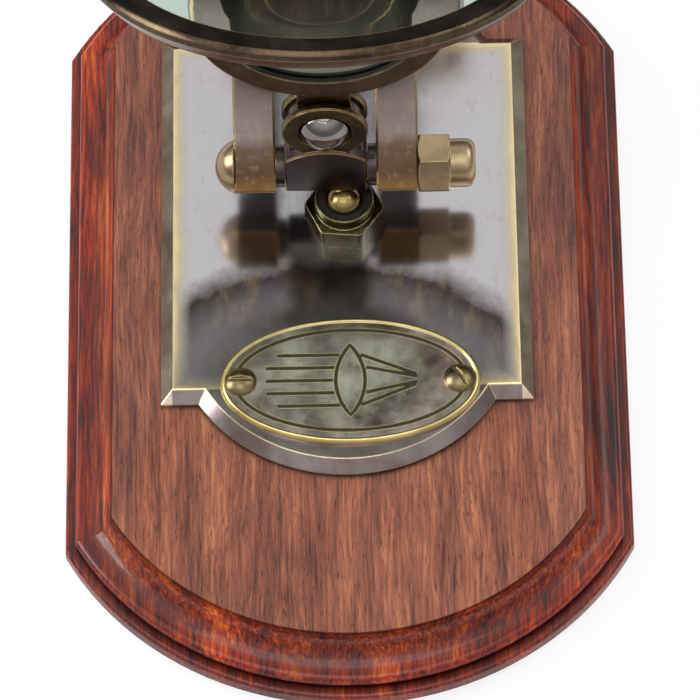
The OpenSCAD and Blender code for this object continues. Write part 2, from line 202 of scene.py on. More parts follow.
def prism(outline, low, high, bevel_mm=0.0, place=None):
    """A solid between two heights over an outline, in millimetres, with its edges eased."""
    bm = bmesh.new()
    rings = [[bm.verts.new(Vector((x, y, z)) * MM) for x, y in outline] for z in (low, high)]
    bm.faces.new(rings[0][::-1])
    bm.faces.new(rings[1])
    for here in range(len(outline)):
        after = (here + 1) % len(outline)
        bm.faces.new((rings[0][here], rings[0][after], rings[1][after], rings[1][here]))
    if bevel_mm:
        bm.normal_update()
        sharp = [edge for edge in bm.edges if edge.calc_face_angle(0.0) > 0.5]
        bmesh.ops.bevel(bm, geom=sharp, offset=bevel_mm * MM, segments=3, affect="EDGES",
                        clamp_overlap=True)
    if place is not None:
        bmesh.ops.transform(bm, matrix=place, verts=bm.verts)
    return bm


def together(parts):
    """Several closed shapes as one."""
    whole = bmesh.new()
    for part in parts:
        mesh = bpy.data.meshes.new("part")
        part.to_mesh(mesh)
        part.free()
        whole.from_mesh(mesh)
        bpy.data.meshes.remove(mesh)
    return whole


def cut(shape, *tools):
    """Take the tools' shapes out of a shape."""
    objects = []
    for bm in (shape,) + tools:
        mesh = bpy.data.meshes.new("shape")
        bmesh.ops.recalc_face_normals(bm, faces=bm.faces)
        bm.to_mesh(mesh)
        bm.free()
        objects.append(bpy.data.objects.new("shape", mesh))
        bpy.context.scene.collection.objects.link(objects[-1])
    for tool in objects[1:]:
        modifier = objects[0].modifiers.new("cut", "BOOLEAN")
        modifier.operation = "DIFFERENCE"
        modifier.object = tool
    result = bmesh.new()
    result.from_object(objects[0], bpy.context.evaluated_depsgraph_get())
    if not result.faces:
        raise RuntimeError("nothing is left of a shape after its holes were cut")
    for obj in objects:
        mesh = obj.data
        bpy.data.objects.remove(obj)
        bpy.data.meshes.remove(mesh)
    return result


def ribbon(bm, points, width, low, high, material_index, closed=False):
    """A flat strip along (x, y) points in millimetres, for an engraved line."""
    rows = []
    last = len(points) - 1
    for here, (x, y) in enumerate(points):
        before = points[here - 1] if here or closed else points[0]
        after = points[(here + 1) % len(points)] if here < last or closed else points[last]
        way = Vector((after[0] - before[0], after[1] - before[1])).normalized()
        side = Vector((-way.y, way.x)) * width / 2
        rows.append([bm.verts.new(Vector((x + s * side.x, y + s * side.y, z)) * MM)
                     for s, z in ((-1, low), (1, low), (1, high), (-1, high))])
    pairs = list(zip(rows, rows[1:])) + ([(rows[-1], rows[0])] if closed else [])
    for here, there in pairs:
        for side in range(4):
            after = (side + 1) % 4
            face = bm.faces.new((here[side], there[side], there[after], here[after]))
            face.material_index = material_index
    if not closed:
        for end in (rows[0], rows[-1][::-1]):
            bm.faces.new(end).material_index = material_index


def joint(name):
    """A joint's place and the direction of its axis, from the record."""
    for row in frame["record"]["behaviour"]["joints"]:
        if row["name"] == name:
            return Vector(row["pos_m"]), Vector(row["axis"]).normalized()
    raise RuntimeError("the record has no joint " + name)


def standing(origin, across, deep, up):
    """The matrix that puts X, Y and Z along three directions at a place."""
    return Matrix.Translation(origin) @ Matrix((across, deep, up)).transposed().to_4x4()


def ring_place(retainer, pivot, side):
    """The middle of a ring's face, with Z out of it along the lens axis, from its ring nut."""
    low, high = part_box(retainer)
    axis = joint(pivot)[1] * side
    face = (low + high) / 2 + axis * NUT_BEHIND_FACE * MM
    across = Vector((1, 0, 0))
    return standing(face, across, axis.cross(across), axis)


def knuckle_place(bolt, pivot):
    """A knuckle's bolt, with Z up to its pivot screw and Y through the screw."""
    (start, _), (end, through) = joint(bolt), joint(pivot)
    up = (end - start).normalized()
    return standing(start, through.cross(up), through, up)


# Finishes

def edge_wear(put, width_mm):
    """How near a convex edge is, from 0 to 1, and the softened normal there."""
    soft = put("Bevel", {"samples": 6, "Radius": width_mm * MM})
    true_normal = put("NewGeometry", output="Normal")
    dot = put("VectorMath", {"operation": "DOT_PRODUCT", 0: soft, 1: true_normal}, "Value")
    return put("MapRange", {"Value": dot, "From Min": 0.995, "From Max": 0.88}), soft


def aged_brass(name, dark, body, edge, roughness=0.28, wear_mm=0.4, mottle_mm=9, wear=0.8,
               polish=0.3, along=None):
    """Brass darkened in acid and lacquered. The eye sees olive to brown metal with soft clouds,
    fine marks along the way it was brushed, and thin gold lines where the edges were handled.
    Real brush marks are about 0.05 mm wide; they are drawn 0.35 mm wide so that they show.
    along = (start, direction, length_mm, stops) tints it from one end to the other."""
    material, put = blank_finish(name)
    cloud = grain(put, (mottle_mm,) * 3, 4, 0.6)
    tone = put("ValToRGB", {"Fac": cloud, "stops": [(0.34, dark), (0.62, body)]})
    if along:
        start, direction, length_mm, stops = along
        from_start = put("VectorMath", {"operation": "SUBTRACT",
                                        0: put("TexCoord", output="Object"), 1: tuple(start)})
        travel = put("VectorMath", {"operation": "DOT_PRODUCT", 0: from_start,
                                    1: tuple(direction)}, "Value")
        drift = put("Math", {"operation": "MULTIPLY_ADD", 0: cloud, 1: 5 * MM, 2: travel})
        part = put("MapRange", {"Value": drift, "From Min": 0.0, "From Max": length_mm * MM})
        tone = put("Mix", {"data_type": "RGBA", "blend_type": "MULTIPLY", 0: 1.0, 6: tone,
                           7: put("ValToRGB", {"Fac": part, "stops": stops})}, 2)
    # Rubbed spots a millimetre or two across
    rub = put("MapRange", {"Value": grain(put, (1.8,) * 3, 5, 0.72), "From Min": 0.55,
                           "From Max": 0.75, "To Max": 0.16})
    near, soft = edge_wear(put, wear_mm)
    patchy = put("MapRange", {"Value": cloud, "From Min": 0.35, "From Max": 0.6,
                              "To Min": wear * 0.55, "To Max": wear})
    worn = put("Math", {"operation": "MULTIPLY", 0: near, 1: patchy})
    spotted = put("Mix", {"data_type": "RGBA", 0: rub, 6: tone, 7: edge}, 2)
    fine = grain(put, (0.35, 0.35, 4), 2)
    gloss = put("MapRange", {
        "Value": put("Math", {"operation": "MULTIPLY_ADD", 0: fine, 1: polish, 2: cloud}),
        "From Min": 0.4, "From Max": 1.0, "To Min": roughness - 0.06, "To Max": roughness + 0.1})
    put("OutputMaterial", {0: put("BsdfPrincipled", {
        "Base Color": put("Mix", {"data_type": "RGBA", 0: worn, 6: spotted, 7: edge}, 2),
        "Metallic": 1.0, "Roughness": gloss,
        "Normal": put("Bump", {"Strength": 0.12, "Distance": 0.02 * MM, "Height": fine,
                               "Normal": soft})})})
    return material


def plate_brass(name, body_colour, centre_y, half_w, half_l):
    """Rolled brass sheet, antiqued and polished: a lavender-grey cloud over the middle, cream and
    gold at the rim where hands and cloth reach it, and over the front half a brown cloud of
    painted reflection and shadow of the parts above it. The bevel's tone is painted reflection:
    lighter along the straight sides and browner round the front. The sheet's polishing marks are
    about
    0.05 mm wide; they are drawn 0.3 mm wide so that they show."""
    material, put = blank_finish(name)
    place = put("TexCoord", output="Object")
    part = put("SeparateXYZ", {0: place}).node.outputs
    across = put("Math", {"operation": "SUBTRACT", 0: half_w,
                          1: put("Math", {"operation": "ABSOLUTE", 0: part["X"]})})
    middle = put("Math", {"operation": "SUBTRACT", 0: part["Y"], 1: centre_y})
    along = put("Math", {"operation": "SUBTRACT", 0: half_l,
                         1: put("Math", {"operation": "ABSOLUTE", 0: middle})})
    cloud = grain(put, (12, 12, 12), 4, 0.6)
    # Distance from the rim of the flat top, with a cloudy edge
    inwards = put("Math", {"operation": "MINIMUM", 0: across, 1: along})
    drift = put("Math", {"operation": "MULTIPLY_ADD", 0: cloud, 1: 3 * MM, 2: inwards})
    rim = put("MapRange", {"Value": drift, "From Min": 1.6 * MM, "From Max": 5.6 * MM})
    body = put("ValToRGB", {"Fac": rim, "stops": [
        (0.0, "#d8c79c"), (0.3, "#bfb394"), (0.6, "#b5afaa"), (1.0, body_colour)]})
    # Painted reflection and shadow of the parts above: a wide round dark cloud in front of the
    # socket, darkest towards its middle
    from_painted_reflection = put("VectorMath", {"operation": "DISTANCE", 0: place,
                                    1: (-3.9 * MM, -60 * MM, PLATE_TOP * MM)}, "Value")
    ragged = put("Math", {"operation": "MULTIPLY_ADD", 0: grain(put, (9, 9, 9), 5, 0.65),
                          1: 9 * MM, 2: from_painted_reflection})
    inside = put("MapRange", {"Value": ragged, "From Min": 69.5 * MM, "From Max": 63 * MM})
    sparing = put("MapRange", {"Value": from_painted_reflection, "From Min": 44 * MM, "From Max": 58 * MM,
                               "To Min": 0.5, "To Max": 0.97})
    painted_reflection_tone = put("ValToRGB", {"Fac": grain(put, (5, 9, 5), 6, 0.7), "stops": [
        (0.34, "#2f2726"), (0.5, "#403634"), (0.66, "#66583f")]})
    clear_of_rim = put("MapRange", {"Value": inwards, "From Min": 0.4 * MM, "From Max": 4 * MM})
    painted_reflection_shade = put("Math", {"operation": "MULTIPLY", 0: inside, 1: put("Math", {
        "operation": "MULTIPLY", 0: sparing, 1: clear_of_rim})})
    body = put("Mix", {"data_type": "RGBA", 0: painted_reflection_shade, 6: body, 7: painted_reflection_tone}, 2)
    # Small stains and pin marks a few millimetres across
    spots = put("MapRange", {"Value": grain(put, (4, 7, 4), 6, 0.75), "From Min": 0.56,
                             "From Max": 0.78, "To Max": 0.4})
    body = put("Mix", {"data_type": "RGBA", 0: spots, 6: body, 7: "#7c6f62"}, 2)
    on_top = put("MapRange", {"Value": inwards, "From Min": -0.35 * MM, "From Max": -0.05 * MM})
    # Painted reflection on the bevel: pale cream along the straight sides, dark grey-brown round
    # the ends
    side_bevel_painted_light = put("MapRange", {"Value": across, "From Min": -0.05 * MM, "From Max": -0.35 * MM})
    bevel = put("Mix", {"data_type": "RGBA", 0: side_bevel_painted_light,
                        6: put("ValToRGB", {"Fac": cloud, "stops": [
                            (0.35, "#776862"), (0.62, "#958a88")]}),
                        7: put("ValToRGB", {"Fac": cloud, "stops": [
                            (0.35, "#c4ac94"), (0.62, "#eadbc4")]})}, 2)
    body = put("Mix", {"data_type": "RGBA", 0: on_top, 6: bevel, 7: body}, 2)
    near, soft = edge_wear(put, 0.45)
    fine = grain(put, (0.3, 5, 0.3), 3)
    gloss = put("MapRange", {
        "Value": put("Math", {"operation": "MULTIPLY_ADD", 0: fine, 1: 0.3, 2: cloud}),
        "From Min": 0.4, "From Max": 0.9, "To Min": 0.11, "To Max": 0.22})
    put("OutputMaterial", {0: put("BsdfPrincipled", {
        "Base Color": put("Mix", {"data_type": "RGBA", 0: near, 6: body, 7: "#efdfa8"}, 2),
        "Metallic": 1.0, "Roughness": gloss,
        "Normal": put("Bump", {"Strength": 0.1, "Distance": 0.02 * MM, "Height": fine,
                               "Normal": soft})})})
    return material


def varnished_rosewood(name, panel_colour, moulding_colour, panel_z):
    """Planed rosewood, stained red and varnished: long fibres, orange and brown streaks and short
    dark pores along Y. The flat panel is greyer, which paints the sheen of its varnish, and the
    moulded edge redder, with each face tinted by height as it takes the light: a brown cove, an
    orange bead and a purplish foot of painted light and sheen. The hollows carry painted shade."""
    material, put = blank_finish(name)
    # The fibres waver: a slow sideways drift of a few millimetres
    place = put("TexCoord", output="Object")
    drift = grain(put, (18, 60, 30), 2, 0.5, place, 1)
    moved = put("VectorMath", {"operation": "MULTIPLY_ADD", 0: drift, 1: (6 * MM, 0.0, 6 * MM),
                               2: place})
    figure = grain(put, (6, 60, 6), 3, 0.55, moved)
    fibre = grain(put, (0.7, 14, 0.9), 4, 0.65, moved)
    broad = grain(put, (16, 55, 16), 2, 0.5, moved)
    tone = put("Math", {"operation": "MULTIPLY_ADD", 0: figure, 1: 0.42,
                        2: put("Math", {"operation": "MULTIPLY", 0: fibre, 1: 0.58})})
    # The panel's tones are greyer than the moulding's: painted sheen of the varnish on the flat
    flat = put("ValToRGB", {"Fac": tone, "stops": [
        (0.36, "#4a2a26"), (0.46, "#804838"), (0.55, panel_colour), (0.66, "#c8805a")]})
    turned = put("ValToRGB", {"Fac": tone, "stops": [
        (0.38, "#2c0804"), (0.47, "#86240a"), (0.55, moulding_colour), (0.64, "#e67a30")]})
    # Bands of lighter and darker wood, two or three to the width of the moulding
    bands = put("MapRange", {"Value": broad, "From Min": 0.36, "From Max": 0.62,
                             "To Min": 0.55, "To Max": 1.25})
    turned = put("VectorMath", {"operation": "SCALE", 0: turned, "Scale": bands})
    height = put("SeparateXYZ", {0: place}, 2)
    # Painted light and sheen, by height: the foot, bead, cove and the edge of the panel are each
    # tinted as they take the light
    level = put("MapRange", {"Value": height, "From Min": WOOD_FOOT * MM, "From Max": panel_z})
    face_light_tint = put("ValToRGB", {"Fac": level, "stops": [
        (0.0, "#c9b0b4"), (0.29, "#cfaea4"), (0.34, "#d8b4a4"),
        (0.5, "#f0ccb0"), (0.56, "#c8bfa8"), (0.8, "#ffffff"), (0.97, "#d8cfb0")]})
    turned = put("Mix", {"data_type": "RGBA", "blend_type": "MULTIPLY", 0: 1.0, 6: turned,
                         7: face_light_tint}, 2)
    # Pores: dark streaks about 3 mm long. Real ones are 0.1 to 0.2 mm wide; they are drawn
    # 0.3 mm wide so that they show
    pore = put("MapRange", {"Value": grain(put, (0.3, 3.5, 0.3), 2, 0.6, moved),
                            "From Min": 0.58, "From Max": 0.68})
    on_panel = put("MapRange", {"Value": height, "From Min": panel_z - 0.5 * MM,
                                "From Max": panel_z - 0.1 * MM})
    body = put("Mix", {"data_type": "RGBA", 0: on_panel, 6: turned, 7: flat}, 2)
    # Painted shade: the hollows are darkened towards black by ambient occlusion
    hollow = put("AmbientOcclusion", {"samples": 6, "Distance": 4 * MM}, "AO")
    hollow_painted_shade = put("MapRange", {"Value": hollow, "From Min": 0.35, "From Max": 0.9,
                            "To Min": 0.9, "To Max": 0.0})
    body = put("Mix", {"data_type": "RGBA", 0: hollow_painted_shade, 6: body, 7: "#1c0805"}, 2)
    dark_pore = put("Math", {"operation": "MULTIPLY", 0: pore, 1: 0.7})
    relief = put("Math", {"operation": "MULTIPLY_ADD", 0: fibre, 1: 0.5, 2: pore})
    put("OutputMaterial", {0: put("BsdfPrincipled", {
        "Base Color": put("Mix", {"data_type": "RGBA", 0: dark_pore, 6: body, 7: "#240c0a"}, 2),
        "Roughness": 0.45, "Specular IOR Level": 0.25, "Coat Weight": 0.4, "Coat Roughness": 0.1,
        "Normal": put("Bump", {"Strength": 0.3, "Distance": 0.06 * MM, "invert": True,
                               "Height": relief})})})
    return material


def pressed_felt(name):
    """Wool felt, pressed: matt, with a short fuzz that catches light at a low angle."""
    material, put = blank_finish(name)
    fuzz = grain(put, (0.6, 0.6, 0.6), 4, 0.7)
    put("OutputMaterial", {0: put("BsdfPrincipled", {
        "Base Color": put("ValToRGB", {"Fac": fuzz, "stops": [
            (0.35, "#10241a"), (0.65, "#24503a")]}),
        "Roughness": 0.95, "Sheen Weight": 0.4,
        "Normal": put("Bump", {"Strength": 0.5, "Distance": 0.2 * MM, "Height": fuzz})})})
    return material


def zinc_steel(name):
    """Zinc-plated steel, turned: pale grey and satin, out of sight under the base."""
    material, put = blank_finish(name)
    tone = put("ValToRGB", {"Fac": grain(put, (1.5, 1.5, 1.5)), "stops": [
        (0.3, "#9a9ea2"), (0.7, "#bfc2c4")]})
    put("OutputMaterial", {0: put("BsdfPrincipled", {
        "Base Color": tone, "Metallic": 1.0, "Roughness": 0.35})})
    return material


def optical_glass(name, colour):
    """Crown glass, ground and polished: clear, with the faint green of an old lens."""
    material, put = blank_finish(name)
    put("OutputMaterial", {0: put("BsdfPrincipled", {
        "Base Color": colour, "Roughness": 0.0, "IOR": 1.52, "Transmission Weight": 1.0})})
    return material


def matt_black(name):
    """Wax rubbed into an engraved line, or blacking in a bore: near black, a little uneven and
    without shine."""
    material, put = blank_finish(name)
    tone = put("ValToRGB", {"Fac": grain(put, (1.2, 1.2, 1.2)), "stops": [
        (0.3, "#15110e"), (0.7, "#2a231c")]})
    put("OutputMaterial", {0: put("BsdfPrincipled", {"Base Color": tone, "Roughness": 0.6})})
    return material


BLACKS = {"bore": "blackened_bore", "wax": "engraving_wax"}

# Brasses by look: name, darker tone, lighter tone (a hex value or the name of a colour setting),
# tone of worn edges, and what else differs from plain aged brass
BRASSES = {
    # Pale satin gold, cleaned by handling: bolt heads, nuts and their caps
    "satin": ("antiqued_turned_brass", "#937e62", "bolts", "#e6cf98", {"roughness": 0.3}),
    # Dull olive, never polished: the oval plate's screws
    "screw": ("olive_screw_brass", "#544a36", "#7a6c50", "#d8c07c", {"roughness": 0.26}),
    # Deep gold, rubbed by its own movement: the ball and its cup
    "golden": ("rubbed_brass", "#6e5c38", "#a08a58", "#e6cc88", {"roughness": 0.2}),
    # Green-black with a gold arris: the socket
    "hexagon": ("green_aged_brass", "#48452f", "#6b6748", "#dcc486",
                {"roughness": 0.26, "wear_mm": 0.35}),
    # Purple-black with a thin gold line round each face: the knuckles' blocks and spacers
    "black": ("blackened_brass", "#3a3233", "#524848", "#b8975a",
              {"roughness": 0.3, "wear_mm": 0.3, "wear": 0.7}),
    # Dark olive: the round cheeks behind the pivot screws
    "cheek": ("olive_aged_brass", "#3c3324", "#5a4e38", "#c0a468",
              {"roughness": 0.28, "wear_mm": 0.3}),
    # A mirror, grey as steel: the domed pivot screws
    "gunmetal": ("polished_gunmetal", "#76706e", "#8c8684", "#c9b48a",
                 {"roughness": 0.07, "polish": 0.05}),
    # Dark brown with lighter clouds: rings and necks
    "ring": ("dark_antiqued_brass", "#3a2f26", "rings", "#d2b478", {"roughness": 0.24}),
    # Smoky, cloudy and glossy: the oval plate's field
    "field": ("polished_dark_brass", "#84706c", "#cdb9b2", "#e6cf96",
              {"roughness": 0.15, "wear_mm": 0.2, "mottle_mm": 10, "wear": 0.2}),
    # Clean yellow metal: the oval plate's bevel and the sides of engraved lines
    "bright": ("bright_cut_brass", "#cdb672", "#e6d08c", "#f0e2b0", {"roughness": 0.2}),
}


def finish(look):
    """The material for a brass or a black, made when it is first asked for."""
    name = BLACKS[look] if look in BLACKS else BRASSES[look][0]
    if name in bpy.data.materials:
        return bpy.data.materials[name]
    if look in BLACKS:
        return matt_black(name)
    _, dark, body, edge, rest = BRASSES[look]
    if not body.startswith("#"):
        body = tuple(getattr(bpy.context.scene.magnifier_colours, body))
    return aged_brass(name, dark, body, edge, **rest)


# Settings

class MagnifierColourSettings(bpy.types.PropertyGroup):
    """Colours of the main finishes."""
    panel: bpy.props.FloatVectorProperty(
        name="Panel", description="Middle tone of the wooden base's flat panel",
        size=4, subtype="COLOR", default=hex_colour("#a05e47"))
    moulding: bpy.props.FloatVectorProperty(
        name="Moulding", description="Middle tone of the wooden base's moulded edge",
        size=4, subtype="COLOR", default=hex_colour("#b84414"))
    plate: bpy.props.FloatVectorProperty(
        name="Plate", description="Tone of the brass plate, away from its rim",
        size=4, subtype="COLOR", default=hex_colour("#b6b3b6"))
    bars: bpy.props.FloatVectorProperty(
        name="Bars", description="Lighter tone of the two bars",
        size=4, subtype="COLOR", default=hex_colour("#a5978f"))
    bolts: bpy.props.FloatVectorProperty(
        name="Bolts", description="Lighter tone of bolt heads and nuts",
        size=4, subtype="COLOR", default=hex_colour("#b29b7a"))
    rings: bpy.props.FloatVectorProperty(
        name="Rings", description="Lighter tone of the lens rings and their necks",
        size=4, subtype="COLOR", default=hex_colour("#564839"))
    glass: bpy.props.FloatVectorProperty(
        name="Glass", description="Tint of both lenses",
        size=4, subtype="COLOR", default=hex_colour("#d6e6dc"))


class MagnifierStageSettings(bpy.types.PropertyGroup):
    """How the magnifier is seen and lit."""
    elevation: bpy.props.FloatProperty(
        name="Camera height", description="Angle of the camera above level",
        default=math.radians(57.8), unit="ROTATION")
    azimuth: bpy.props.FloatProperty(
        name="Camera turn",
        description="Angle of the camera round the base, from the reader's side",
        default=math.radians(0.743), unit="ROTATION")
    roll: bpy.props.FloatProperty(
        name="Camera roll", description="Turn of the camera about its line of sight",
        default=math.radians(-1.674), unit="ROTATION")
    distance: bpy.props.FloatProperty(
        name="Camera distance", description="Distance from the camera to the socket",
        default=1.400, unit="LENGTH")
    lens: bpy.props.FloatProperty(
        name="Focal length", description="Focal length on a 36 mm sensor, in millimetres",
        default=313.6)
    lamp_level: bpy.props.FloatProperty(
        name="Lamp level", description="Strength of the soft boxes", default=1.0)


class MagnifierSocketSettings(bpy.types.PropertyGroup):
    """Size and turn of the socket's hexagon."""
    across_flats: bpy.props.FloatProperty(
        name="Across flats", description="Width of the hexagon between two flats",
        default=15.9 * MM, unit="LENGTH")
    turn: bpy.props.FloatProperty(
        name="Turn", description="Turn of the hexagon from a flat facing the reader",
        default=math.radians(-5), unit="ROTATION")


class MagnifierArmSettings(bpy.types.PropertyGroup):
    """Ends and edges of the two bars."""
    overrun: bpy.props.FloatProperty(
        name="Overrun", description="How far a bar reaches past its bolt",
        default=6.1 * MM, unit="LENGTH")
    edge: bpy.props.FloatProperty(
        name="Eased edge", description="Width of the bevel along a bar's edges",
        default=0.35 * MM, unit="LENGTH")


class MagnifierRingSettings(bpy.types.PropertyGroup):
    """Sizes of the two lens rings."""
    large_radius: bpy.props.FloatProperty(
        name="Large radius", description="Outer radius of the large ring",
        default=51.3 * MM, unit="LENGTH")
    large_wall: bpy.props.FloatProperty(
        name="Large wall", description="Height of the large ring's wall before it steps in",
        default=2.4 * MM, unit="LENGTH")
    small_radius: bpy.props.FloatProperty(
        name="Small radius", description="Outer radius of the small ring",
        default=28.5 * MM, unit="LENGTH")
    small_wall: bpy.props.FloatProperty(
        name="Small wall", description="Height of the small ring's wall before it steps in",
        default=4.3 * MM, unit="LENGTH")


class MagnifierNamePlateSettings(bpy.types.PropertyGroup):
    """Sizes of the oval plate's engraving."""
    line_width: bpy.props.FloatProperty(
        name="Line width", description="Width of an engraved line",
        default=0.8 * MM, unit="LENGTH")
    border_inset: bpy.props.FloatProperty(
        name="Border inset", description="Distance from the oval's edge to its border line",
        default=3.4 * MM, unit="LENGTH")


# Pieces

class MAGNIFIER_OT_stage(bpy.types.Operator):
    """White floor and surroundings, soft boxes, and the camera"""
    bl_idname = "magnifier.stage"
    bl_label = "Stage"

    def execute(self, context):
        settings = context.scene.magnifier_stage
        self.world(context)
        self.floor()
        self.lamps(settings)
        self.camera(context, settings)
        context.scene.view_settings.view_transform = "Standard"
        return {"FINISHED"}

    def world(self, context):
        """White to the eye, and dim in reflections."""
        world = bpy.data.worlds.new("studio")
        context.scene.world = world
        world.use_nodes = True
        world.node_tree.nodes.clear()
        put = partial(add, world.node_tree)
        path = put("LightPath").node.outputs
        way = put("SeparateXYZ", {0: put("TexCoord", output="Generated")}).node.outputs
        # Metal and glass see a room that is dark behind the object, and a bright ceiling
        behind, in_front, ceiling = 0.06, 0.37, 1.1
        level = put("MapRange", {"Value": way["Y"], "From Min": 1.0, "From Max": -0.2,
                                 "To Min": behind, "To Max": in_front})
        above = put("MapRange", {"Value": way["Z"], "From Min": 0.3, "From Max": 0.75})
        seen = put("Background", {"Color": "#ffffff", "Strength": put("Mix", {
            "data_type": "FLOAT", 0: above, 2: level, 3: ceiling})})
        light = put("Background", {"Color": "#ffffff", "Strength": 0.4})
        white = put("Background", {"Color": "#ffffff", "Strength": 1.0})
        straight = put("Math", {"operation": "MAXIMUM", 0: path["Is Camera Ray"],
                                1: path["Is Transmission Ray"]})
        first = put("MixShader", {0: path["Is Glossy Ray"], 1: light, 2: seen})
        put("OutputWorld", {0: put("MixShader", {0: straight, 1: first, 2: white})})

    def floor(self):
        """White paper that takes shadows and glows a little."""
        half_width, clear_of_felt = 3.0, 0.2 * MM
        bm = bmesh.new()
        bmesh.ops.create_grid(bm, x_segments=1, y_segments=1, size=half_width)
        mesh = bpy.data.meshes.new("floor")
        bm.to_mesh(mesh)
        bm.free()
        floor = bpy.data.objects.new("floor", mesh)
        bpy.context.scene.collection.objects.link(floor)
        floor.location.z = cad_box[0][2] - clear_of_felt
        material, put = blank_finish("white_paper")
        path = put("LightPath").node.outputs
        seen = put("Math", {"operation": "MAXIMUM", 0: path["Is Camera Ray"], 1: put("Math", {
            "operation": "MAXIMUM", 0: path["Is Glossy Ray"], 1: path["Is Transmission Ray"]})})
        put("OutputMaterial", {0: put("MixShader", {
            0: put("Math", {"operation": "MULTIPLY", 0: seen, 1: 0.8}),
            1: put("BsdfDiffuse", {"Color": "#f8f8f8"}),
            2: put("Emission", {"Color": "#ffffff", "Strength": 1.06})})})
        mesh.materials.append(material)

    def lamps(self, settings):
        """A low soft box on the left, a weak one on the right and a broad one overhead."""
        # Name, place and width in metres, power in watts
        for name, place, width, power in (
                ("box_left", (-1.0, 0.1, 0.62), 0.6, 8.5),
                ("box_right", (0.7, 0.35, 1.0), 0.6, 2.4),
                ("box_top", (-0.1, -0.3, 1.4), 0.9, 5.0)):
            lamp = bpy.data.lights.new(name, "AREA")
            lamp.shape = "SQUARE"
            lamp.size = width
            lamp.energy = power * settings.lamp_level
            obj = bpy.data.objects.new(name, lamp)
            bpy.context.scene.collection.objects.link(obj)
            obj.location = place
            aim = Vector((0, 0, 30 * MM)) - obj.location
            obj.rotation_euler = aim.to_track_quat("-Z", "Y").to_euler()

    def camera(self, context, settings):
        """The photograph's camera, by its angles round the socket's foot."""
        low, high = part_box("socket_nut")
        socket = (low + high) / 2
        socket.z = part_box("base_plate")[1][2]
        level = Matrix.Rotation(settings.azimuth, 3, "Z") @ Vector((0, -1, 0))
        away = level * math.cos(settings.elevation) + Vector((0, 0, math.sin(settings.elevation)))
        camera = bpy.data.cameras.new("camera")
        obj = bpy.data.objects.new("camera", camera)
        context.scene.collection.objects.link(obj)
        camera.lens = settings.lens
        camera.sensor_width = 36
        camera.clip_start = 0.05
        obj.location = socket + away * settings.distance
        # The middle of the photograph lies in front of the socket
        middle = socket + Vector((0.796 * MM, -35.2 * MM, 0))
        sight = (middle - obj.location).to_track_quat("-Z", "Y").to_matrix()
        obj.rotation_euler = (sight @ Matrix.Rotation(settings.roll, 3, "Z")).to_euler()
        context.scene.camera = obj


class MAGNIFIER_OT_wooden_base(bpy.types.Operator):
    """Varnished rosewood base and the felt under it"""
    bl_idname = "magnifier.wooden_base"
    bl_label = "Wooden base"

    def execute(self, context):
        colours = context.scene.magnifier_colours
        dress("wood_base", varnished_rosewood(
            "varnished_rosewood", tuple(colours.panel), tuple(colours.moulding),
            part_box("wood_base")[1][2]))
        dress("felt_pad", pressed_felt("pressed_felt"))
        return {"FINISHED"}


class MAGNIFIER_OT_brass_plate(bpy.types.Operator):
    """Bevelled brass plate"""
    bl_idname = "magnifier.brass_plate"
    bl_label = "Brass plate"

    def execute(self, context):
        low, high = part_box("base_plate")
        dress("base_plate", plate_brass(
            "antiqued_sheet_brass", tuple(context.scene.magnifier_colours.plate),
            (low.y + high.y) / 2, (high.x - low.x) / 2 - PLATE_BEVEL * MM,
            PLATE_HALF_LENGTH * MM))
        return {"FINISHED"}


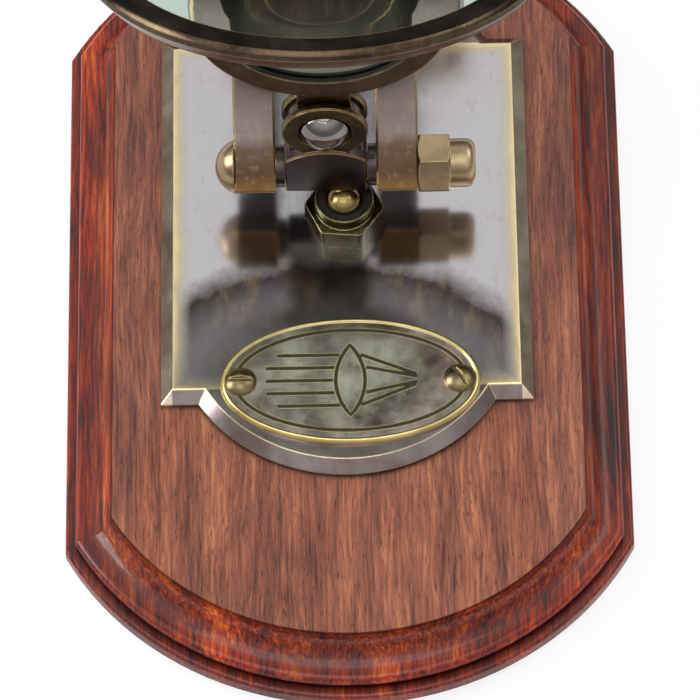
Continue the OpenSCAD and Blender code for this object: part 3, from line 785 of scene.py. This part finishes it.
class MAGNIFIER_OT_name_plate(bpy.types.Operator):
    """Oval plate with a bright bevelled edge, an engraved border and lens, and its two screws"""
    bl_idname = "magnifier.name_plate"
    bl_label = "Oval plate"

    def execute(self, context):
        low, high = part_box("name_plate")
        half_l, half_w = (high.x - low.x) / 2 / MM, (high.y - low.y) / 2 / MM
        place = Matrix.Translation(((low.x + high.x) / 2, (low.y + high.y) / 2, low.z))
        holes = []
        for name in ("plate_screw_left", "plate_screw_right"):
            screw_low, screw_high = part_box(name)
            x, y = ((screw_low + screw_high) / 2 / MM).xy
            holes.append(prism([(x + a, y + b) for a, b in circle(SCREW_HOLE_R)],
                               low.z / MM - 1, low.z / MM + 3))
            dress(name, finish("screw"))
        piece = mesh_piece("oval_plate_bevelled", cut(self.oval(half_l, half_w, place), *holes),
                           [finish("field"), finish("bright")], "base", 25)
        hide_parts("name_plate")
        self.engraving(context.scene.magnifier_name_plate, place, half_l, half_w)
        return {"FINISHED"}

    def oval(self, half_l, half_w, place):
        """The slab with its rim, from (inset from the outline, height) points. All of the rim
        but its upright side is bright."""
        profile = [(0, 0), (0, 0.55), (0.45, 1.2), (0.75, 1.4), (1.05, 1.4), (1.35, 1.05)]
        steps = 160
        bm = bmesh.new()
        rows = []
        for inset, z in profile:
            wide, deep = half_l - inset, half_w - inset
            rows.append([bm.verts.new(place @ (Vector((x * wide, y * deep, z)) * MM))
                         for x, y in circle(1, steps=steps)])
        for side, (here, there) in enumerate(zip(rows, rows[1:])):
            for step in range(steps):
                after = (step + 1) % steps
                face = bm.faces.new((here[step], here[after], there[after], there[step]))
                face.material_index = 1 if side else 0
        bm.faces.new(rows[0][::-1])
        bm.faces.new(rows[-1])
        return bm

    def engraving(self, settings, place, half_l, half_w):
        """A border line, and a lens that gathers level rays: black wax with rubbed edges, a hair
        above the field at 1.05 so that it doesn't hide them."""
        inset, width = settings.border_inset / MM, settings.line_width / MM
        border = [(x * (half_l - inset), y * (half_w - inset)) for x, y in circle(1, steps=140)]
        lens_up, lens_out, gap, focus = 9.2, 3.3, 0.7, Vector((18.0, 0))
        bow = (lens_up ** 2 + lens_out ** 2) / (2 * lens_out)

        def surface(y):
            return math.sqrt(bow ** 2 - y ** 2) - bow + lens_out

        rise = lens_up / 10
        lens = [(side * surface(s * rise), s * rise)
                for side, steps in ((1, range(-10, 10)), (-1, range(10, -10, -1))) for s in steps]
        lines = [(border, True), (lens, True)]
        for up in (-6.6, -3.3, 0, 3.3, 6.6):
            out = surface(up) + gap
            start = 20 * math.sqrt(max(0.0, 1 - (up / (half_w - inset - 1.5)) ** 2))
            lines.append(([(-min(19.0, start), up), (-out, up)], False))
            if up:
                leaves = Vector((out, up))
                lines.append(([tuple(leaves), tuple(leaves.lerp(focus, 0.8))], False))
        bm = bmesh.new()
        for points, closed in lines:
            ribbon(bm, points, width + 0.42, 1.052, 1.062, 1, closed)
            ribbon(bm, points, width, 1.0625, 1.075, 0, closed)
        bmesh.ops.transform(bm, matrix=place, verts=bm.verts)
        mesh_piece("oval_plate_engraving", bm, [finish("wax"), finish("bright")], "base")


class MAGNIFIER_OT_ball_socket(bpy.types.Operator):
    """Socket, its cup, the ball on its stem, and the joint under the base"""
    bl_idname = "magnifier.ball_socket"
    bl_label = "Ball socket"

    def execute(self, context):
        low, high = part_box("socket_nut")
        ball, _ = joint("base_lean")
        place = Matrix.Translation((ball.x, ball.y, 0))
        foot, top, centre = low.z / MM, high.z / MM, ball.z / MM
        parts = [self.hexagon(context.scene.magnifier_socket, place, foot),
                 self.rim(place, foot, top, centre)]
        piece = mesh_piece("socket_hexagon", together(parts),
                           [finish("hexagon"), finish("bore")], "base", 20)
        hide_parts("socket_nut")
        dress("seat_cup", finish("golden"))
        dress("ball_stud", finish("golden"))
        steel = zinc_steel("zinc_plated_steel")
        for name in ("post_stud", "post_washer", "post_nut"):
            dress(name, steel)
        return {"FINISHED"}

    def hexagon(self, settings, place, foot):
        """The hexagon with its turned chamfer, which cuts the corners back only slightly."""
        flat = settings.across_flats / MM / 2
        bore, past_corners, shoulder = 6.7, 20, foot + HEXAGON_HEIGHT

        def reach(angle):
            turned = (angle + math.pi / 2 - settings.turn) % (math.pi / 3)
            return flat / math.cos(min(turned, math.pi / 3 - turned))

        profile = [(bore, foot), (past_corners, foot), (past_corners, shoulder - 0.5),
                   (flat + 0.9, shoulder - 0.12), (flat + 0.2, shoulder), (bore, shoulder)]
        return lathe(profile, 240, place, reach=reach)

    def rim(self, place, foot, top, centre):
        """The thin rim that stands out of the hexagon, rounded at the top, with a blackened dish
        in it down to the mouth."""
        outer = 6.72
        profile = [(CAVITY_R, foot), (outer, foot), (outer, top - 0.5), (outer - 0.12, top - 0.15),
                   (6.4, top), (6.15, top - 0.05), (5.6, top - 0.4), (4.9, top - 0.57),
                   (MOUTH_R, top - 0.6), (MOUTH_R + 0.12, centre + 0.85),
                   (MOUTH_R + 0.2, centre), (CAVITY_R, centre)]
        return lathe(profile, 96, place, inner=(5, 6, 7, 8, 9))


class MAGNIFIER_OT_knuckles(bpy.types.Operator):
    """Lower knuckle and head, with their domed pivot screws"""
    bl_idname = "magnifier.knuckles"
    bl_label = "Knuckles"

    def execute(self, context):
        for node, body, bolt, pivot in (
                ("knuckle_block", "knuckle", "arm_tilt", "small_swing"),
                ("head_knuckle", "head", "head_tilt", "large_swing")):
            piece = mesh_piece(node + "_stepped", self.knuckle(bolt, pivot),
                               [finish("black"), finish("cheek")], body, 30)
            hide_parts(node)
        for name in ("small_pivot_screw", "large_pivot_screw"):
            dress(name, finish("gunmetal"))
        for name in ("lower_spacer_left", "lower_spacer_right", "upper_spacer_left",
                     "upper_spacer_right"):
            dress(name, finish("black"))
        return {"FINISHED"}

    def knuckle(self, bolt, pivot):
        """A block with an arched top between two round cheeks. It is drawn from the front, round
        the bolt: x across, y up, and the height towards the reader."""
        half_w, half_d, down, shoulder, crown = 9.3, 4.2, -4.5, 7.8, 11.4
        rise = crown - shoulder
        radius = (half_w ** 2 + rise ** 2) / (2 * rise)
        across = [half_w * (1 - s / 10) for s in range(21)]
        arch = [(x, crown - radius + math.sqrt(radius ** 2 - x ** 2)) for x in across]
        block = prism([(-half_w, down), (half_w, down)] + arch, -half_d, half_d, 0.3)
        # The holes' tools reach past the metal
        wide, high_up, deep = 12, 14, 6
        slot = prism([(-wide, SLOT_FLOOR), (wide, SLOT_FLOOR), (wide, high_up), (-wide, high_up)],
                     -SLOT_HALF, SLOT_HALF)
        bore = prism(circle(BOLT_BORE_R), -wide, wide,
                     place=Matrix.Rotation(math.pi / 2, 4, "Y"))
        # Each cheek's face stands 0.7 mm behind the block's
        cheek_r, cheek_face = 9.7, half_d - 0.7
        cheeks = []
        for low, high in ((SLOT_HALF, cheek_face), (-cheek_face, -SLOT_HALF)):
            disc = prism(circle(cheek_r, PIVOT_UP, 96), low, high, 0.3)
            tools = [prism(circle(PIVOT_R, PIVOT_UP, 32), -deep, deep)]
            if high > 0:
                dome_floor = half_d - DOME_BORE_DEPTH
                tools.append(prism(circle(DOME_BORE_R, PIVOT_UP), dome_floor, deep))
            disc = cut(disc, *tools)
            for face in disc.faces:
                face.material_index = 1
            cheeks.append(disc)
        whole = together([cut(block, slot, bore)] + cheeks)
        upright = knuckle_place(bolt, pivot) @ Matrix.Rotation(math.pi / 2, 4, "X")
        bmesh.ops.transform(whole, matrix=upright, verts=whole.verts)
        return whole


class MAGNIFIER_OT_arms(bpy.types.Operator):
    """Square bars with their bolts and nuts"""
    bl_idname = "magnifier.arms"
    bl_label = "Arms"

    def execute(self, context):
        settings = context.scene.magnifier_arms
        (start, _), (end, _) = joint("arm_tilt"), joint("head_tilt")
        along, across = (end - start).normalized(), Vector((1, 0, 0))
        place = standing(start, across, along.cross(across), along)
        length, over = (end - start).length / MM, settings.overrun / MM
        bar = self.drawn_brass(context, start - along * over * MM, along, length + 2 * over)
        crosswise = Matrix.Rotation(math.pi / 2, 4, "Y")
        for node in ("arm_left", "arm_right"):
            low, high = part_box(node)
            inner, outer = (low.x - start.x) / MM, (high.x - start.x) / MM
            side = prism([(inner, -BAR_HALF), (outer, -BAR_HALF), (outer, BAR_HALF),
                          (inner, BAR_HALF)], -over, length + over, settings.edge / MM)
            holes = [prism(circle(BOLT_R), inner - 1, outer + 1,
                           place=Matrix.Translation((0, 0, z * MM)) @ crosswise)
                     for z in (0, length)]
            solid = cut(side, *holes)
            bmesh.ops.transform(solid, matrix=place, verts=solid.verts)
            piece = mesh_piece(node + "_bar", solid, [bar], "arms", 30)
            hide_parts(node)
        for name in ("lower_bolt", "upper_bolt", "lower_nut", "upper_nut"):
            dress(name, finish("satin"))
        return {"FINISHED"}

    def drawn_brass(self, context, foot, along, length_mm):
        """Drawn square bar: smooth, grey and pale, with a painted reflection along it: gold at its
        foot and a dark brown stretch round the lower bolt."""
        # Painted reflection along the bar: gold at the foot, a dark brown stretch round the lower
        # bolt, pale grey above
        stops = [(0.0, "#b09468"), (0.03, "#a08860"), (0.055, "#7a6a58"), (0.11, "#8a7c70"),
                 (0.135, "#b4b4ba"), (1.0, "#d2d4da")]
        return aged_brass(
            "antiqued_drawn_brass", "#8c7a70", tuple(context.scene.magnifier_colours.bars),
            "#d4b67c", roughness=0.24, mottle_mm=14, wear=0.9,
            along=(foot, along, length_mm, stops))


class MAGNIFIER_OT_lens_rings(bpy.types.Operator):
    """Rings, necks and ring nuts of both lenses"""
    bl_idname = "magnifier.lens_rings"
    bl_label = "Lens rings"

    def execute(self, context):
        settings = context.scene.magnifier_rings
        for name in ("small_neck", "large_neck"):
            dress(name, finish("ring"))
        for name in ("small_retainer", "large_retainer"):
            dress(name, finish("bore"))
        dress("ring_screw", finish("golden"))
        large = ring_place("large_retainer", "large_swing", 1)
        small = ring_place("small_retainer", "small_swing", -1)
        for node, body, place, opening, radius, wall, steps in (
                ("large_ring", "large_glass", large, 45, settings.large_radius,
                 settings.large_wall, 192),
                ("small_ring", "small_glass", small, 22.5, settings.small_radius,
                 settings.small_wall, 128)):
            bm = self.ring(place, opening, radius / MM, wall / MM, steps)
            piece = mesh_piece(node + "_turned", bm, [finish("ring"), finish("bore")], body,
                               25)
            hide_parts(node)
        self.saddle(large, settings.large_radius / MM)
        return {"FINISHED"}

    def ring(self, place, opening, outer, wall, steps):
        """A turned ring with its face up at 0. The wall steps in and tapers to the back, and the
        glass seats behind the lip in a blackened bore."""
        face, seat = outer - 0.4, opening + 1.5
        back = outer - (RING_THICK - wall) * 0.8
        profile = [(opening, -0.2), (opening + 0.2, 0), (face - 0.35, 0), (face, -0.25),
                   (outer, -0.9), (outer, -wall + 0.25), (outer - 0.2, -wall),
                   (back, -RING_THICK + 0.2), (back - 0.2, -RING_THICK), (seat, -RING_THICK),
                   (seat, -LIP_THICK), (opening, -LIP_THICK)]
        return lathe(profile, steps, place, inner=(9, 10, 11))

    def saddle(self, place, ring_radius):
        """The neck's end, let into the ring's wall."""
        low, high, half_w, back, front = ring_radius - 1.4, ring_radius + 4.1, 6, -4.9, -1.7
        bm = prism([(-half_w, low), (half_w, low), (half_w, high), (-half_w, high)], back, front,
                   0.35, place)
        mesh_piece("large_neck_saddle", bm, [finish("ring")], "large_glass")


class MAGNIFIER_OT_lenses(bpy.types.Operator):
    """Both lenses"""
    bl_idname = "magnifier.lenses"
    bl_label = "Lenses"

    def execute(self, context):
        glass = optical_glass("polished_crown_glass",
                              tuple(context.scene.magnifier_colours.glass))
        dress("small_lens", glass)
        dress("large_lens", glass)
        return {"FINISHED"}


class MAGNIFIER_PT_panel(bpy.types.Panel):
    """Lists the magnifier's pieces"""
    bl_label = "Magnifier"
    bl_space_type = "VIEW_3D"
    bl_region_type = "UI"
    bl_category = "Magnifier"

    def draw(self, context):
        for operator in PIECES:
            self.layout.operator(operator.bl_idname)


PIECES = (MAGNIFIER_OT_stage, MAGNIFIER_OT_wooden_base, MAGNIFIER_OT_brass_plate,
          MAGNIFIER_OT_name_plate, MAGNIFIER_OT_ball_socket, MAGNIFIER_OT_knuckles,
          MAGNIFIER_OT_arms, MAGNIFIER_OT_lens_rings, MAGNIFIER_OT_lenses)
SETTINGS = {
    "magnifier_colours": MagnifierColourSettings,
    "magnifier_stage": MagnifierStageSettings,
    "magnifier_name_plate": MagnifierNamePlateSettings,
    "magnifier_socket": MagnifierSocketSettings,
    "magnifier_arms": MagnifierArmSettings,
    "magnifier_rings": MagnifierRingSettings,
}
CLASSES = tuple(SETTINGS.values()) + PIECES + (MAGNIFIER_PT_panel,)


def register():
    for cls in CLASSES:
        bpy.utils.register_class(cls)
    for name, group in SETTINGS.items():
        setattr(bpy.types.Scene, name, bpy.props.PointerProperty(type=group))


def unregister():
    for name in SETTINGS:
        delattr(bpy.types.Scene, name)
    for cls in reversed(CLASSES):
        bpy.utils.unregister_class(cls)


def main():
    register()
    for operator in PIECES:
        group, name = operator.bl_idname.split(".")
        getattr(getattr(bpy.ops, group), name)()


if __name__ == "__main__":
    main()
